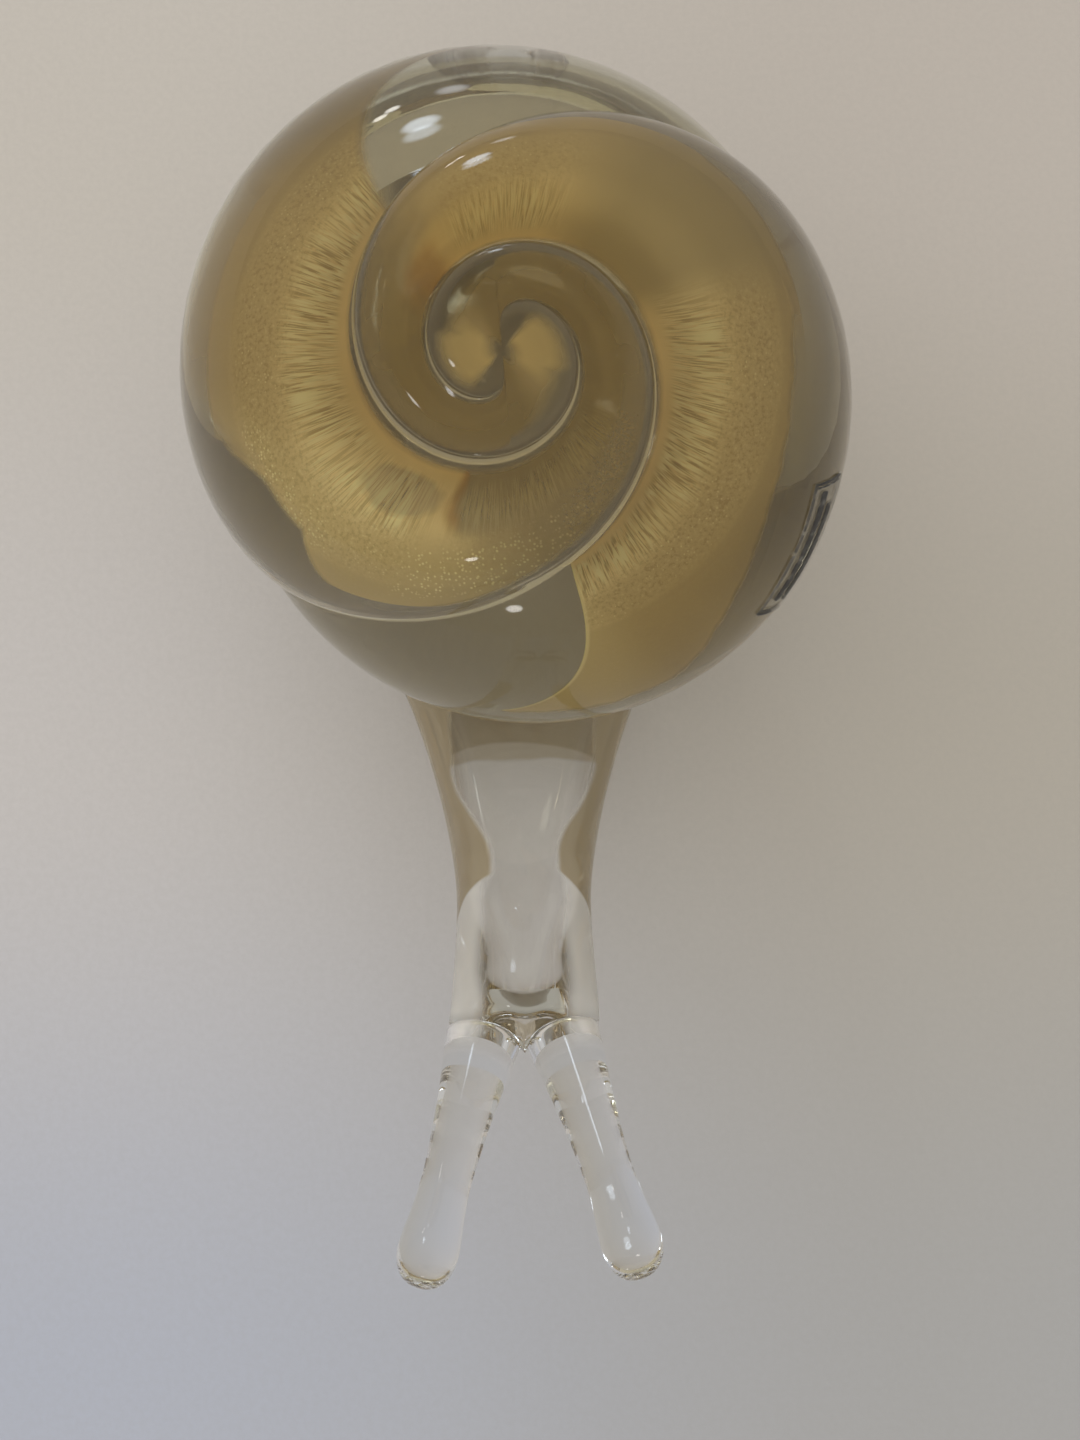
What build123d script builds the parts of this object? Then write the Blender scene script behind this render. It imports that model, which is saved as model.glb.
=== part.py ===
from build123d import *
import math
import os

# Lengths in millimetres, angles in degrees.
# The snail faces -Y and stands on Z = 0; X is its width.

# Shell: a ball of two lobes twisted together about an axis that leans over the neck
SHELL_RADIUS = 52.0
CROWN_HEIGHT = 50.0
BELLY_DEPTH = 46.0
SHELL_Y = 35.8
FORWARD_LEAN = 15.0
SIDE_LEAN = -2.0
GLASS_BELOW_SHELL = 5.0
POLE_ANGLE = 1.0

# Seam between the lobes: its turn about the axis grows as it climbs to the crown
TWIST = 4434.0
TWIST_HEART = 9.24
TWIST_OFFSET = 24.9
TWIST_POWER = 4.0
LOBE_TURN = 180.0

# Groove along the seam, and the swell of a lobe between its two seams
GROOVE_DEPTH = 5.0
GROOVE_SHARE = 0.28
GROOVE_FADE_START = 80.0
GROOVE_FADE_END = 125.0
SWELL_SKEW = 0.62

# Points that draw a lobe's skin
FAST_ROWS = 50
FAST_LIMIT = 40.0
SLOW_ROWS = 50
SKIN_COLUMNS = 19

# Gold leaf laid inside each lobe
LEAF_DEPTH = 4.5
LEAF_DEPTH_SHARE = 0.34
LEAF_THICKNESS = 0.5
LEAF_START_A = -76.0
LEAF_START_B = -58.0
LEAF_END = 160.0
LEAF_LOWER_EDGE = 66.0
LEAF_EDGE_SHARE = 0.14
LEAF_CORNER_POWER = 6.0
LEAF_COLUMNS = 24
LEAF_ROWS = 9

# Body: foot and neck, oval sections along a spine in the plane X = 0.
# Each has its Y from the shell's centre, its Z, its slope, its half width and its half height.
TAIL_TIP = (36.0, 5.0)
FOOT_REAR = (18.0, 6.0, -2.0, 27.0, 11.0)
FOOT_MIDDLE = (0.0, 6.5, 2.0, 33.0, 14.0)
FOOT_FRONT = (-25.0, 9.0, 10.0, 29.0, 15.0)
NECK_ROOT = (-45.0, 15.0, 24.0, 20.5, 14.0)
NECK_MIDDLE = (-60.0, 23.0, 36.0, 15.2, 12.5)
NECK_END = (-73.0, 34.0, 41.0, 11.8, 11.0)

# Head, straight on from the end of the neck.
# Each section has its distance from there, its half width and its half height.
HEAD_REAR = (10.0, 10.9, 10.4)
HEAD_MIDDLE = (20.0, 11.0, 8.6)
HEAD_FRONT = (30.0, 11.0, 6.3)
HEAD_NOSE = 35.5

# Tentacles, rooted in the head
ROOT_STEP = 20.0
LEFT_ROOT = 3.5
RIGHT_ROOT = 2.4
TENTACLE_LENGTH = 46.0
TENTACLE_RISE = 46.0
LEFT_SPLAY = 16.0
RIGHT_SPLAY = 21.0
ROOT_RADIUS = 6.4
ROOT_TAPER = 3.0
WAIST_RADIUS = 3.4
WAIST_SHARE = 0.77
BULB_RADIUS = 3.9

# Film label on the shell's right side
LABEL_LENGTH = 22.0
LABEL_WIDTH = 11.0
LABEL_THICKNESS = 0.2
LABEL_TURN = -28.0
LABEL_ANGLE = 68.0
LABEL_TILT = 22.0
LABEL_POINTS = 7

# Room left between the shell and what touches its curved skin
WELD_GAP = 0.05
SKIN_TOLERANCE = 0.005


def spread(start, end, count):
    """Evenly spaced numbers from start to end."""
    return [start + (end - start) * i / (count - 1) for i in range(count)]


def polar(radius, angle, turn):
    """Point of the shell's own frame, whose Z is the twist axis."""
    flat = radius * math.sin(math.radians(angle))
    east = flat * math.cos(math.radians(turn))
    north = flat * math.sin(math.radians(turn))
    return Vector(east, north, radius * math.cos(math.radians(angle)))


def ball_radius(angle):
    """Radius of the plain ball at an angle from the crown."""
    height = CROWN_HEIGHT if angle < 90 else BELLY_DEPTH
    across = math.sin(math.radians(angle)) / SHELL_RADIUS
    along = math.cos(math.radians(angle)) / height
    return 1 / math.hypot(across, along)


def seam_turn(angle):
    """Turn of the seam about the twist axis at an angle from the crown."""
    heart = (angle**TWIST_POWER + TWIST_HEART**TWIST_POWER) ** (1 / TWIST_POWER)
    return TWIST / heart - TWIST_OFFSET


def seam_angle(turn):
    """Angle from the crown where the seam has made this turn, at most the lower pole."""
    if turn <= 0:
        return 180.0
    reach = (TWIST / (turn + TWIST_OFFSET)) ** TWIST_POWER - TWIST_HEART**TWIST_POWER
    return max(reach, 0) ** (1 / TWIST_POWER)


def groove_depth(angle):
    """Depth of the seam's groove, which follows the width of the lobe."""
    inner = 1 / (1 / angle + LOBE_TURN / TWIST)
    width = math.radians(angle - inner) * SHELL_RADIUS
    fade = (GROOVE_FADE_END - angle) / (GROOVE_FADE_END - GROOVE_FADE_START)
    fade = min(max(fade, 0), 1)
    return min(GROOVE_SHARE * width, GROOVE_DEPTH) * fade * fade * (3 - 2 * fade)


def lobe_radius(angle, turn):
    """Radius of a lobe's skin, low at its two seams and full between them."""
    share = (seam_turn(angle) - turn) / LOBE_TURN
    share = min(max(share, 0), 1)
    swell = math.sin(math.pi * share**SWELL_SKEW)
    return ball_radius(angle) - groove_depth(angle) * (1 - swell)


def seam_height(angle):
    """Height of the seam along the twist axis at an angle from the crown."""
    radius = ball_radius(angle) - groove_depth(angle)
    return radius * math.cos(math.radians(angle))


def skin(rows):
    """Smooth face through rows of points."""
    return Face.make_surface_from_array_of_points(rows, tol=SKIN_TOLERANCE, min_deg=3)


def slab(outer_rows, inner_rows):
    """Thin solid between two skins that are drawn with matching points."""
    outer = skin(outer_rows)
    inner = skin(inner_rows)
    faces = [outer, inner]
    for outer_edge, inner_edge in zip(outer.edges(), inner.edges()):
        faces.append(Face.make_surface_from_curves(outer_edge, inner_edge))
    return Solid(Shell(faces))


def lobe():
    """One twisted lobe, closed by the twisted face that it shares with the other."""
    fast_turns = spread(seam_turn(POLE_ANGLE), seam_turn(FAST_LIMIT), FAST_ROWS)
    angles = [seam_angle(turn) for turn in fast_turns]
    angles += spread(FAST_LIMIT, 180 - POLE_ANGLE, SLOW_ROWS)[1:]
    steps = [0.5 - 0.5 * math.cos(math.pi * s) for s in spread(0, 1, SKIN_COLUMNS)]
    rows = []
    for angle in angles:
        turns = [seam_turn(angle) - LOBE_TURN * step for step in steps]
        rows.append([polar(lobe_radius(angle, turn), angle, turn) for turn in turns])
    outside = skin(rows)
    pole_edge_a, pole_edge_b, seam_a, seam_b = outside.edges().sort_by(SortBy.LENGTH)
    faces = [outside, Face.make_surface_from_curves(seam_a, seam_b.reversed())]
    for edge in (pole_edge_a, pole_edge_b):
        chord = Edge.make_line(edge @ 0, edge @ 1)
        faces.append(Face.make_surface_from_curves(edge, chord))
    return Solid(Shell(faces))


def leaf_rows(start, extra_depth):
    """Points of a gold leaf's face, sunk below the skin of its lobe."""
    columns = []
    for turn in spread(start, LEAF_END, LEAF_COLUMNS):
        inner = seam_angle(turn + LOBE_TURN)
        outer = seam_angle(turn)
        below = min(outer, 90)
        depth = min(LEAF_DEPTH, LEAF_DEPTH_SHARE * (seam_height(inner) - seam_height(below)))
        power = -LEAF_CORNER_POWER
        outer = (outer**power + LEAF_LOWER_EDGE**power) ** (1 / power)
        margin = LEAF_EDGE_SHARE * (outer - inner)
        column = []
        for angle in spread(inner + margin, outer - margin, LEAF_ROWS):
            radius = lobe_radius(angle, turn) - depth - extra_depth
            column.append(polar(radius, angle, turn))
        columns.append(column)
    return columns


def gold_leaf(start):
    """Gold leaf of one lobe, shut inside the glass."""
    return slab(leaf_rows(start, 0), leaf_rows(start, LEAF_THICKNESS))


def label_rows(lift):
    """Points of the label's face at a height above the skin of its lobe."""
    tilt = math.radians(LABEL_TILT)
    latitude_radius = SHELL_RADIUS * math.sin(math.radians(LABEL_ANGLE))
    rows = []
    for across in spread(-LABEL_WIDTH / 2, LABEL_WIDTH / 2, LABEL_POINTS):
        row = []
        for along in spread(-LABEL_LENGTH / 2, LABEL_LENGTH / 2, LABEL_POINTS):
            down = across * math.cos(tilt) - along * math.sin(tilt)
            round_axis = along * math.cos(tilt) + across * math.sin(tilt)
            angle = LABEL_ANGLE + math.degrees(down / SHELL_RADIUS)
            turn = LABEL_TURN + math.degrees(round_axis / latitude_radius)
            row.append(polar(lobe_radius(angle, turn) + lift, angle, turn))
        rows.append(row)
    return rows


def label():
    """Film label that lies on the lobe's skin."""
    return slab(label_rows(WELD_GAP + LABEL_THICKNESS), label_rows(WELD_GAP))


def section(y, z, slope, half_width, half_height):
    """Oval across the spine, its plane's normal pointing to the head."""
    rise = math.radians(slope)
    normal = (0, -math.cos(rise), math.sin(rise))
    plane = Plane(origin=(0, SHELL_Y + y, z), x_dir=(1, 0, 0), z_dir=normal)
    return plane, Wire.make_ellipse(half_width, half_height, plane)


def body(shell_place):
    """Foot and neck, ground flat below and hollowed on top for the shell."""
    tail_y, tail_z = TAIL_TIP
    stations = [Vertex(0, SHELL_Y + tail_y, tail_z)]
    for sizes in (FOOT_REAR, FOOT_MIDDLE, FOOT_FRONT, NECK_ROOT, NECK_MIDDLE, NECK_END):
        plane, oval = section(*sizes)
        stations.append(oval)
    blank = Solid.make_loft(stations)
    reach = 4 * SHELL_RADIUS
    below = Pos(0, 0, -reach / 2) * Box(reach, reach, reach)
    across = SHELL_RADIUS + WELD_GAP
    along = BELLY_DEPTH + WELD_GAP
    seat = shell_place * scale(Sphere(1), by=(across, across, along))
    return blank - below - seat


def head():
    """Head, drawn out from the end of the neck."""
    plane, oval = section(*NECK_END)
    stations = [oval]
    for step, half_width, half_height in (HEAD_REAR, HEAD_MIDDLE, HEAD_FRONT):
        stations.append(Wire.make_ellipse(half_width, half_height, plane.offset(step)))
    stations.append(Vertex(plane.from_local_coords((0, 0, HEAD_NOSE))))
    return Solid.make_loft(stations)


def tentacle(offset, splay):
    """Tentacle with a round bulb, still whole at its root."""
    waist = (WAIST_RADIUS, WAIST_SHARE * TENTACLE_LENGTH)
    bulb = (BULB_RADIUS, TENTACLE_LENGTH)
    tip = (0, TENTACLE_LENGTH + BULB_RADIUS)
    root_slope = (-math.tan(math.radians(ROOT_TAPER)), 1)
    flank = Spline((ROOT_RADIUS, 0), waist, bulb, tangents=(root_slope, (0, 1)))
    cap = RadiusArc(bulb, tip, -BULB_RADIUS)
    outline = flank + cap + Polyline(tip, (0, 0), (ROOT_RADIUS, 0))
    blank = revolve(Plane.XZ * make_face(outline.edges()), Axis.Z)
    rise = math.radians(TENTACLE_RISE)
    forward = math.cos(rise) * math.cos(math.radians(splay))
    sideways = math.cos(rise) * math.sin(math.radians(splay))
    neck_plane, oval = section(*NECK_END)
    root = neck_plane.from_local_coords((offset, 0, ROOT_STEP))
    return Plane(origin=root, z_dir=(sideways, -forward, math.sin(rise))) * blank


def build():
    """All the pieces, by name."""
    lean = math.radians(FORWARD_LEAN)
    shell_drop = math.hypot(BELLY_DEPTH * math.cos(lean), SHELL_RADIUS * math.sin(lean))
    shell_centre = (0, SHELL_Y, GLASS_BELOW_SHELL + shell_drop)
    place = Location(shell_centre, (FORWARD_LEAN, SIDE_LEAN, 0))
    half_turn = place * Rot(0, 0, LOBE_TURN)
    leaf_a = gold_leaf(LEAF_START_A)
    leaf_b = gold_leaf(LEAF_START_B)
    snail_head = head()
    tentacle_left = tentacle(-LEFT_ROOT, -LEFT_SPLAY) - snail_head
    tentacle_right = tentacle(RIGHT_ROOT, RIGHT_SPLAY) - snail_head
    return {
        "shell_lobe_a": place * (lobe() - leaf_a),
        "shell_lobe_b": half_turn * (lobe() - leaf_b),
        "gold_leaf_a": place * leaf_a,
        "gold_leaf_b": half_turn * leaf_b,
        "body": body(place),
        "head": snail_head,
        "tentacle_left": tentacle_left,
        "tentacle_right": tentacle_right - tentacle_left,
        "label": place * label(),
    }


if __name__ == "__main__":
    os.makedirs("parts", exist_ok=True)
    for name, piece in build().items():
        export_step(piece, f"parts/{name}.step")
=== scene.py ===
import math
import random

import bpy
from mathutils import Matrix, Vector


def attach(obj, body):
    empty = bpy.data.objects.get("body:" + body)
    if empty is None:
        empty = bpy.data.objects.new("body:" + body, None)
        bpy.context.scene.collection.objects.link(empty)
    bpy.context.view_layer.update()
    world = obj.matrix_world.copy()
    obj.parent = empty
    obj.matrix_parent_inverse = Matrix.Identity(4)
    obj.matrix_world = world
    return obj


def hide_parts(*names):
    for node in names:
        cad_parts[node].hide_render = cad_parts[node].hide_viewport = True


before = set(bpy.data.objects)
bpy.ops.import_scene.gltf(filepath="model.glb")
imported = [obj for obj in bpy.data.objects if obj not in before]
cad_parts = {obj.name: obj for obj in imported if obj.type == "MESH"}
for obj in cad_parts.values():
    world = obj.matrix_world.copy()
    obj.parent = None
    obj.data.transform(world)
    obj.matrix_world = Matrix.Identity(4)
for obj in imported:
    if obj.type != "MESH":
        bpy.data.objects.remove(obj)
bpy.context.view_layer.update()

mm = 0.001


# small helpers

def clearSelection():
    if bpy.context.object and bpy.context.object.mode != "OBJECT":
        bpy.ops.object.mode_set(mode="OBJECT")
    bpy.ops.object.select_all(action="DESELECT")


def activate(piece):
    clearSelection()
    piece.select_set(True)
    bpy.context.view_layer.objects.active = piece


def copyPiece(piece, name):
    activate(piece)
    bpy.ops.object.duplicate(linked=False)
    twin = bpy.context.object
    twin.name = name
    twin.data.name = name
    return twin


def dropPiece(piece):
    bpy.data.meshes.remove(piece.data)


def shapeGrid(name, across, along, place, slotAt=None):
    clearSelection()
    bpy.ops.mesh.primitive_grid_add(x_subdivisions=across, y_subdivisions=along, size=1)
    piece = bpy.context.object
    piece.name = name
    piece.data.name = name
    if slotAt:
        for face in piece.data.polygons:
            face.material_index = slotAt(face.center.x + 0.5, face.center.y + 0.5)
    for vertex in piece.data.vertices:
        vertex.co = place(vertex.co.x + 0.5, vertex.co.y + 0.5)
    return piece


def volumeOf(piece):
    mesh = piece.data
    mesh.calc_loop_triangles()
    spots = [vertex.co for vertex in mesh.vertices]
    total = 0.0
    for triangle in mesh.loop_triangles:
        a, b, c = (spots[i] for i in triangle.vertices)
        total += a.dot(b.cross(c))
    return total / 6


def closeUp(piece, reach=1e-6):
    activate(piece)
    bpy.ops.object.mode_set(mode="EDIT")
    bpy.ops.mesh.select_all(action="SELECT")
    bpy.ops.mesh.remove_doubles(threshold=reach)
    bpy.ops.mesh.normals_make_consistent(inside=False)
    bpy.ops.object.mode_set(mode="OBJECT")
    if volumeOf(piece) < 0:
        bpy.ops.object.mode_set(mode="EDIT")
        bpy.ops.mesh.flip_normals()
        bpy.ops.object.mode_set(mode="OBJECT")


def dropFaces(piece, unwanted):
    activate(piece)
    bpy.ops.object.mode_set(mode="EDIT")
    bpy.ops.mesh.select_mode(type="FACE")
    bpy.ops.mesh.select_all(action="DESELECT")
    bpy.ops.object.mode_set(mode="OBJECT")
    for face in piece.data.polygons:
        face.select = unwanted(face)
    bpy.ops.object.mode_set(mode="EDIT")
    bpy.ops.mesh.delete(type="FACE")
    bpy.ops.object.mode_set(mode="OBJECT")


def cutWith(piece, other, operation):
    cut = piece.modifiers.new("cut", "BOOLEAN")
    cut.operation = operation
    cut.solver = "EXACT"
    cut.object = other
    activate(piece)
    bpy.ops.object.modifier_apply(modifier=cut.name)


def sliceAt(piece, point, normal, keep, wanted=None):
    # keeps the side ahead of the plane or behind it, and caps the cut with fused faces
    activate(piece)
    bpy.ops.object.mode_set(mode="EDIT")
    bpy.ops.mesh.select_mode(type="FACE")
    bpy.ops.mesh.select_all(action="DESELECT")
    bpy.ops.object.mode_set(mode="OBJECT")
    for face in piece.data.polygons:
        face.select = wanted is None or wanted(face.center)
    bpy.ops.object.mode_set(mode="EDIT")
    bpy.ops.mesh.bisect(plane_co=point, plane_no=normal, use_fill=True, threshold=1e-6,
                        clear_inner=keep == "ahead", clear_outer=keep == "behind")
    bpy.ops.object.mode_set(mode="OBJECT")
    mesh = piece.data
    for face in mesh.polygons:
        if all(abs((mesh.vertices[i].co - point).dot(normal)) < 2e-6 for i in face.vertices):
            face.material_index = fusedSlot


def finishPiece(piece, node, materials, crease=35):
    slots = piece.data.materials
    while len(slots) < len(materials):
        slots.append(None)
    for i, material in enumerate(materials):
        slots[i] = material
    while len(slots) > len(materials):
        slots.pop()
    closeUp(piece, 1e-7)
    activate(piece)
    bpy.ops.object.shade_smooth_by_angle(angle=math.radians(crease))
    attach(piece, "root")
    if node:
        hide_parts(node)


glassSlot, fusedSlot, scrapSlot = 0, 1, 2


# materials

def newMaterial(name):
    material = bpy.data.materials.new(name)
    material.use_nodes = True
    nodes = material.node_tree.nodes
    nodes.clear()
    output = nodes.new("ShaderNodeOutputMaterial")
    return material, nodes, material.node_tree.links, output


def addNode(nodes, kind, **sockets):
    node = nodes.new(kind)
    for name, value in sockets.items():
        node.inputs[name.replace("_", " ")].default_value = value
    return node


def mathNode(nodes, links, operation, first, second=None, clamp=False):
    node = nodes.new("ShaderNodeMath")
    node.operation = operation
    node.use_clamp = clamp
    for socket, value in zip(node.inputs, (first, second)):
        if value is None:
            continue
        if isinstance(value, (int, float)):
            socket.default_value = value
        else:
            links.new(value, socket)
    return node.outputs[0]


def rangeNode(nodes, links, value, low, high, toLow=0.0, toHigh=1.0, smooth=True):
    node = nodes.new("ShaderNodeMapRange")
    node.interpolation_type = "SMOOTHSTEP" if smooth else "LINEAR"
    links.new(value, node.inputs["Value"])
    node.inputs["From Min"].default_value = low
    node.inputs["From Max"].default_value = high
    node.inputs["To Min"].default_value = toLow
    node.inputs["To Max"].default_value = toHigh
    return node.outputs["Result"]


def mixColour(nodes, links, share, first, second):
    node = nodes.new("ShaderNodeMix")
    node.data_type = "RGBA"
    for socket, value in ((node.inputs[0], share), (node.inputs[6], first), (node.inputs[7], second)):
        if isinstance(value, tuple):
            socket.default_value = value
        elif isinstance(value, (int, float)):
            socket.default_value = value
        else:
            links.new(value, socket)
    return node.outputs[2]


def glassBase(name, tint, paleTint, waviness):
    material, nodes, links, output = newMaterial(name)
    shader = addNode(nodes, "ShaderNodeBsdfPrincipled", IOR=1.5, Transmission_Weight=1.0)
    place = nodes.new("ShaderNodeTexCoord")
    waves = addNode(nodes, "ShaderNodeTexNoise", Scale=40.0, Detail=1.0, Roughness=0.4)
    links.new(place.outputs["Object"], waves.inputs["Vector"])
    bump = addNode(nodes, "ShaderNodeBump", Strength=waviness, Distance=0.001)
    links.new(waves.outputs["Fac"], bump.inputs["Height"])
    links.new(bump.outputs["Normal"], shader.inputs["Normal"])
    haze = addNode(nodes, "ShaderNodeTexNoise", Scale=38.0, Detail=3.0, Roughness=0.6)
    links.new(place.outputs["Object"], haze.inputs["Vector"])
    colour = mixColour(nodes, links, haze.outputs["Fac"], tint, paleTint)
    rough = rangeNode(nodes, links, haze.outputs["Fac"], 0.55, 0.8, 0.0, 0.02)
    links.new(rough, shader.inputs["Roughness"])
    links.new(shader.outputs["BSDF"], output.inputs["Surface"])
    return material, nodes, links, shader, place.outputs["Object"], colour


shellLook = {
    "tint": (0.69, 0.63, 0.42, 1),
    "paleTint": (0.74, 0.68, 0.47, 1),
    "crownTint": (0.62, 0.53, 0.29, 1),
    # painted shade: darker glass on the steep right and back sides
    "paintedRimShade": (0.40, 0.375, 0.285, 1),
    # painted light: paler glass towards the front left
    "paintedFrontLight": (1.0, 0.98, 0.75, 1),
    # painted light: paler glass low on the belly towards the front
    "paintedBellyLight": (0.83, 0.78, 0.56, 1),
    "waviness": 0.05,
}


def shellGlassMaterial(crown):
    # warm glass, more amber round the crown; painted shade makes it darker on the steep sides and back, and painted
    # light makes it paler low down at the front
    material, nodes, links, shader, place, colour = glassBase(
        "shellGlass", shellLook["tint"], shellLook["paleTint"], shellLook["waviness"])
    gap = nodes.new("ShaderNodeVectorMath")
    gap.operation = "DISTANCE"
    links.new(place, gap.inputs[0])
    gap.inputs[1].default_value = crown
    amber = rangeNode(nodes, links, gap.outputs["Value"], 0.027, 0.012)
    colour = mixColour(nodes, links, amber, colour, shellLook["crownTint"])
    spoke = nodes.new("ShaderNodeVectorMath")
    spoke.operation = "SUBTRACT"
    links.new(place, spoke.inputs[0])
    spoke.inputs[1].default_value = shellPlace.translation * mm
    aim = nodes.new("ShaderNodeVectorMath")
    aim.operation = "NORMALIZE"
    links.new(spoke.outputs["Vector"], aim.inputs[0])
    lean = nodes.new("ShaderNodeVectorMath")
    lean.operation = "DOT_PRODUCT"
    links.new(aim.outputs["Vector"], lean.inputs[0])
    lean.inputs[1].default_value = shellPlace.to_3x3() @ Vector((0, 0, 1))
    split = nodes.new("ShaderNodeSeparateXYZ")
    links.new(aim.outputs["Vector"], split.inputs["Vector"])
    # painted shade mask: steep sides on the right and at the back
    rightBack = mathNode(nodes, links, "MAXIMUM", rangeNode(nodes, links, split.outputs["X"], -0.05, 0.35, 0.2, 1.0),
                         rangeNode(nodes, links, split.outputs["Y"], 0.2, 0.5))
    rimShadeMask = mathNode(nodes, links, "MULTIPLY", rangeNode(nodes, links, lean.outputs["Value"], 0.72, 0.56),
                       rangeNode(nodes, links, split.outputs["Y"], -0.8, -0.5))
    rimShadeMask = mathNode(nodes, links, "MULTIPLY", rimShadeMask, rightBack)
    rimShadeMask = mathNode(nodes, links, "MULTIPLY", rimShadeMask, rangeNode(nodes, links, split.outputs["Z"], -0.05, 0.05))
    # painted light: the glass is paler towards the front left
    frontLeft = nodes.new("ShaderNodeVectorMath")
    frontLeft.operation = "DOT_PRODUCT"
    links.new(aim.outputs["Vector"], frontLeft.inputs[0])
    frontLeft.inputs[1].default_value = (-0.5, -0.866, 0)
    front = rangeNode(nodes, links, frontLeft.outputs["Value"], 0.5, 0.72)
    colour = mixColour(nodes, links, front, colour, shellLook["paintedFrontLight"])
    # painted light: the glass is paler low on the belly towards the front
    below = mathNode(nodes, links, "MULTIPLY", rangeNode(nodes, links, split.outputs["Z"], -0.1, -0.3),
                     rangeNode(nodes, links, split.outputs["Y"], 0.3, -0.1))
    colour = mixColour(nodes, links, below, colour, shellLook["paintedBellyLight"])
    colour = mixColour(nodes, links, rimShadeMask, colour, shellLook["paintedRimShade"])
    links.new(colour, shader.inputs["Base Color"])
    return material


bodyLook = {
    "tint": (0.975, 0.97, 0.945, 1),
    "paleTint": (1.0, 1.0, 0.99, 1),
    # painted reflection of the gold shell on the neck's sides, made less clear there
    "paintedSideReflection": (0.37, 0.30, 0.185, 1),
    "sideClear": 0.35,
    "paintedShellView": (0.64, 0.56, 0.40, 1),
    "waviness": 0.01,
    "bandEdge": -0.0194,         # y where the painted view of the shell's underside, amber, ends below the shell
    "middle": (0.0125, 0.0048),  # half the clear middle there and at its narrow end
    "middleEnd": -0.036,
    "archTop": -0.0365,          # the head's clear glass starts in a rounded arch
    "archHalf": 0.0111,
    "archDrop": 0.0125,
    "headSide": 0.0052,          # the head's steep sides get painted light: paler and a little less clear
    "paintedFlankLight": (0.72, 0.695, 0.645, 1),
    "headClear": 0.35,
}


def bodyGlassMaterial():
    # clear glass with a painted amber reflection of the gold shell drawn along both sides of the neck
    material, nodes, links, shader, place, colour = glassBase(
        "clearGlass", bodyLook["tint"], bodyLook["paleTint"], bodyLook["waviness"])

    def run(operation, first, second=None):
        return mathNode(nodes, links, operation, first, second)

    warp = addNode(nodes, "ShaderNodeTexNoise", Scale=90.0, Detail=1.0)
    links.new(place, warp.inputs["Vector"])
    shift = rangeNode(nodes, links, warp.outputs["Fac"], 0.2, 0.8, -0.0008, 0.0008, smooth=False)
    split = nodes.new("ShaderNodeSeparateXYZ")
    links.new(place, split.inputs["Vector"])
    across = run("ADD", run("ABSOLUTE", split.outputs["X"]), shift)
    ahead = run("ADD", split.outputs["Y"], shift)
    wide, narrow = bodyLook["middle"]
    half = rangeNode(nodes, links, ahead, bodyLook["bandEdge"], bodyLook["middleEnd"], wide, narrow)
    side = rangeNode(nodes, links, run("SUBTRACT", across, half), -0.0004, 0.0012)
    lean = mathNode(nodes, links, "DIVIDE", across, bodyLook["archHalf"], clamp=True)
    bow = run("SUBTRACT", 1.0, run("SQRT", run("SUBTRACT", 1.0, run("MULTIPLY", lean, lean))))
    arch = run("SUBTRACT", bodyLook["archTop"], run("MULTIPLY", bow, bodyLook["archDrop"]))
    above = rangeNode(nodes, links, run("SUBTRACT", ahead, arch), -0.0003, 0.0006)
    geometry = nodes.new("ShaderNodeNewGeometry")
    normal = nodes.new("ShaderNodeSeparateXYZ")
    links.new(geometry.outputs["Normal"], normal.inputs["Vector"])
    upper = rangeNode(nodes, links, normal.outputs["Z"], 0.0, 0.15)
    side = run("MULTIPLY", run("MULTIPLY", side, above), upper)
    # painted view of the shell's underside seen through the neck, just below the shell
    band = rangeNode(nodes, links, ahead, bodyLook["bandEdge"] - 0.0003, bodyLook["bandEdge"] + 0.0006)
    colour = mixColour(nodes, links, run("MULTIPLY", band, upper), colour, bodyLook["paintedShellView"])
    # painted reflection of the shell along the neck's sides, with less transmission
    colour = mixColour(nodes, links, side, colour, bodyLook["paintedSideReflection"])
    clear = rangeNode(nodes, links, side, 0.0, 1.0, 1.0, bodyLook["sideClear"], smooth=False)
    # painted light: the head's steep sides are painted pale and made less clear
    flank = run("MULTIPLY", run("MULTIPLY", run("SUBTRACT", 1.0, above), upper),
                rangeNode(nodes, links, across, bodyLook["headSide"], bodyLook["headSide"] + 0.003))
    flank = run("MULTIPLY", flank, rangeNode(nodes, links, ahead, -0.062, -0.057))
    colour = mixColour(nodes, links, flank, colour, bodyLook["paintedFlankLight"])
    clear = run("MULTIPLY", clear, rangeNode(nodes, links, flank, 0.0, 1.0, 1.0, bodyLook["headClear"], smooth=False))
    links.new(clear, shader.inputs["Transmission Weight"])
    links.new(colour, shader.inputs["Base Color"])
    return material


def fusedGlass():
    material, nodes, links, output = newMaterial("fusedGlass")
    shader = addNode(nodes, "ShaderNodeBsdfTransparent", Color=(1, 1, 1, 1))
    links.new(shader.outputs["BSDF"], output.inputs["Surface"])
    return material


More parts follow.
